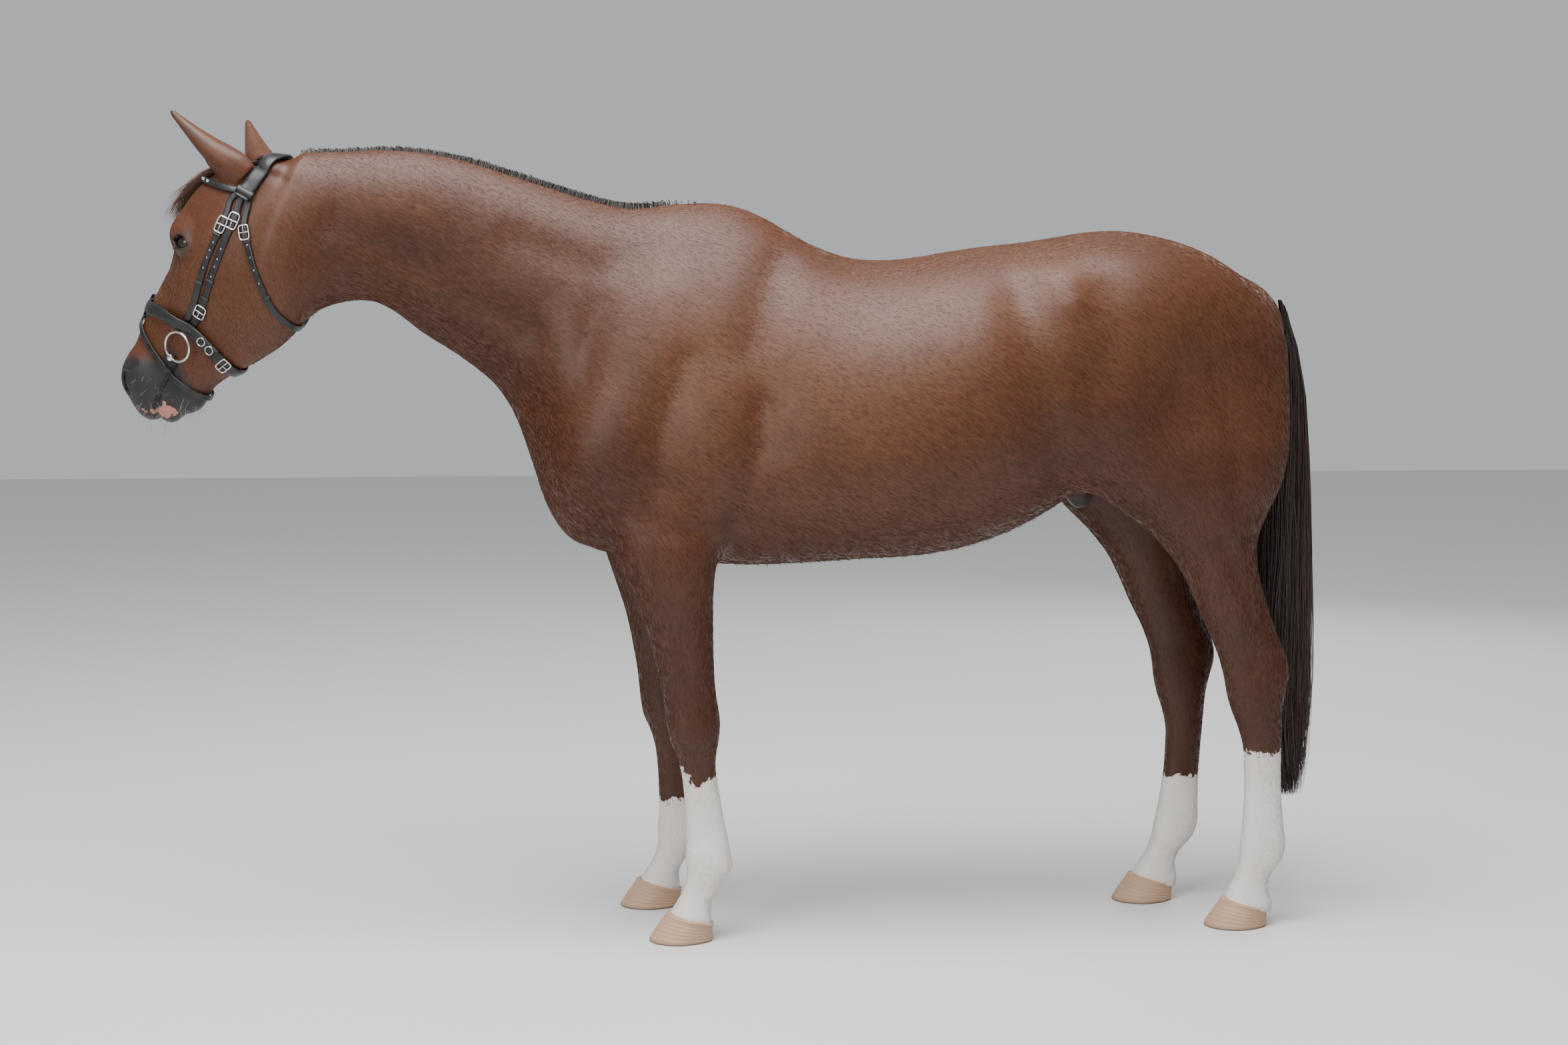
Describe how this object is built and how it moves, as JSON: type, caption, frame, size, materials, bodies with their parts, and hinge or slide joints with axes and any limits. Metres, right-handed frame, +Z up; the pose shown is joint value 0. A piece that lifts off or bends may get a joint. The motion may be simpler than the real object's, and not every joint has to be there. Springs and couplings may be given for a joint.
{
  "type": "horse figure",
  "caption": "Life-size still model of a chestnut riding horse standing square with its head turned, wearing a black leather bridle with a ring bit and no reins.",
  "frame": {"origin": "on the floor, under the middle of the box that holds the whole model", "axes": "the horse faces -X; +Y is its right side, and its left side, the one seen from the front of the model, faces -Y; +Z is up"},
  "size_m": [2.7358, 0.6316, 1.8508],
  "materials": {
    "coat": "short sleek chestnut hair with a soft gloss, white socks and a dark muzzle",
    "hoof": "tan horn with growth rings, dull",
    "eye": "dark brown, wet gloss",
    "mane_hair": "long grey-brown hair in locks",
    "forelock_hair": "long chestnut hair in locks",
    "tail_hair": "long dark hair in locks with red-brown lights",
    "bridle_leather": "black leather, satin, stitched along the edges",
    "bit_steel": "polished steel"
  },
  "bodies": {
    "root": {"head": "coat", "neck": "coat", "trunk": "coat", "ear_left": "coat", "ear_right": "coat", "leg_front_left": "coat", "leg_front_right": "coat", "leg_hind_left": "coat", "leg_hind_right": "coat", "hoof_front_left": "hoof", "hoof_front_right": "hoof", "hoof_hind_left": "hoof", "hoof_hind_right": "hoof", "eye_left": "eye", "eye_right": "eye", "mane": "mane_hair", "tail": "tail_hair", "forelock": "forelock_hair", "headpiece": "bridle_leather", "browband": "bridle_leather", "throatlash": "bridle_leather", "noseband": "bridle_leather", "flash_strap": "bridle_leather", "noseband_hanger_left": "bridle_leather", "noseband_hanger_right": "bridle_leather", "cheekpiece_left": "bridle_leather", "cheekpiece_right": "bridle_leather", "bit_ring_left": "bit_steel", "bit_ring_right": "bit_steel", "bit_end_left": "bit_steel", "bit_end_right": "bit_steel"}
  },
  "joints": []
}
